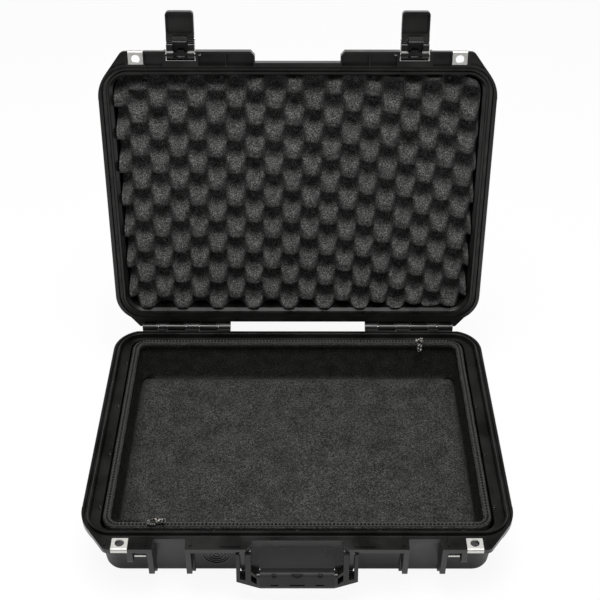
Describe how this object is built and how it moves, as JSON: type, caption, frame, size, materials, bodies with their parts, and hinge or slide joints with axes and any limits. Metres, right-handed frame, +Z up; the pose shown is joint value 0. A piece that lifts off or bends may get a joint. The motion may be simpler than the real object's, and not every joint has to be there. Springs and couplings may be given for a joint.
{
  "type": "utility case",
  "caption": "Open watertight carrying case with trigger latches, folding handle, padlock plates, convoluted lid foam and a zip-edged foam tub in the base.",
  "frame": {"origin": "on the ground under the middle of the base, at the face of its middle foot", "axes": "+X to the right, +Y towards the hinges, +Z up; the latches and handle face -Y"},
  "size_m": [0.52, 0.5258, 0.5307],
  "materials": {
    "shell_plastic": "injection-moulded polypropylene, fine matte grain",
    "latch_plastic": "injection-moulded polypropylene, satin",
    "valve_plastic": "moulded plastic, satin",
    "grip_rubber": "over-moulded soft rubber",
    "gasket_rubber": "soft closed-cell seal",
    "plate_steel": "brushed stainless steel",
    "pin_steel": "drawn stainless steel",
    "liner_foam": "open-cell foam, fine cells",
    "floor_foam": "open-cell foam, fine cells",
    "crate_foam": "convoluted open-cell foam",
    "zip_tape": "woven polyester tape",
    "zip_coil": "moulded nylon teeth",
    "zip_metal": "black enamelled zinc"
  },
  "bodies": {
    "base": {"base_shell": "shell_plastic", "hinge_pin_left": "pin_steel", "hinge_pin_right": "pin_steel", "base_hasp_left": "plate_steel", "base_hasp_right": "plate_steel", "handle_pin_left": "pin_steel", "handle_pin_right": "pin_steel", "valve_housing": "valve_plastic", "valve_cap": "valve_plastic", "valve_seal": "gasket_rubber", "valve_nut": "valve_plastic", "liner": "liner_foam", "floor_pad": "floor_foam", "zipper_tape": "zip_tape", "zipper_teeth": "zip_coil"},
    "lid": {"lid_shell": "shell_plastic", "lid_gasket": "gasket_rubber", "lid_hasp_left": "plate_steel", "lid_hasp_right": "plate_steel", "latch_pin_left": "pin_steel", "latch_pin_right": "pin_steel", "lid_foam": "crate_foam"},
    "handle": {"handle_frame": "shell_plastic", "handle_grip": "grip_rubber"},
    "latch_left": {"latch_body_left": "latch_plastic", "trigger_pin_left": "pin_steel", "trigger_spring_left": "pin_steel"},
    "trigger_left": {"latch_trigger_left": "latch_plastic"},
    "latch_right": {"latch_body_right": "latch_plastic", "trigger_pin_right": "pin_steel", "trigger_spring_right": "pin_steel"},
    "trigger_right": {"latch_trigger_right": "latch_plastic"},
    "slider_front": {"zip_slider_front": "zip_metal"},
    "pull_front": {"zip_pull_front": "zip_metal"},
    "slider_back": {"zip_slider_back": "zip_metal"},
    "pull_back": {"zip_pull_back": "zip_metal"}
  },
  "joints": [
    {"name": "lid_hinge", "type": "hinge", "parent": "base", "child": "lid", "pos_m": [0, 0.199, 0.086], "axis": [-1, 0, 0], "range_deg": [-100, 0]},
    {"name": "latch_left_hinge", "type": "hinge", "parent": "lid", "child": "latch_left", "pos_m": [-0.15025, 0.27799, 0.47641], "axis": [-1, 0, 0], "range_deg": [-90, 0]},
    {"name": "trigger_left_hinge", "type": "hinge", "parent": "latch_left", "child": "trigger_left", "pos_m": [-0.15025, 0.28286, 0.49536], "axis": [-1, 0, 0], "range_deg": [0, 30], "stiffness_Nm_per_rad": 0.05, "springref_deg": -11.46},
    {"name": "latch_right_hinge", "type": "hinge", "parent": "lid", "child": "latch_right", "pos_m": [0.15025, 0.27799, 0.47641], "axis": [-1, 0, 0], "range_deg": [-90, 0]},
    {"name": "trigger_right_hinge", "type": "hinge", "parent": "latch_right", "child": "trigger_right", "pos_m": [0.15025, 0.28286, 0.49536], "axis": [-1, 0, 0], "range_deg": [0, 30], "stiffness_Nm_per_rad": 0.05, "springref_deg": -11.46},
    {"name": "handle_hinge", "type": "hinge", "parent": "base", "child": "handle", "pos_m": [0, -0.1975, 0.0725], "axis": [-1, 0, 0], "range_deg": [0, 90]},
    {"name": "slider_front_slide", "type": "slide", "parent": "base", "child": "slider_front", "axis": [1, 0, 0], "range_m": [0, 0.34]},
    {"name": "pull_front_hinge", "type": "hinge", "parent": "slider_front", "child": "pull_front", "pos_m": [-0.173, -0.1667, 0.09235], "axis": [0, -1, 0], "range_deg": [0, 150]},
    {"name": "slider_back_slide", "type": "slide", "parent": "base", "child": "slider_back", "axis": [-1, 0, 0], "range_m": [0, 0.34]},
    {"name": "pull_back_hinge", "type": "hinge", "parent": "slider_back", "child": "pull_back", "pos_m": [0.173, 0.1635, 0.09235], "axis": [-1, 0, 0], "range_deg": [0, 150]}
  ]
}
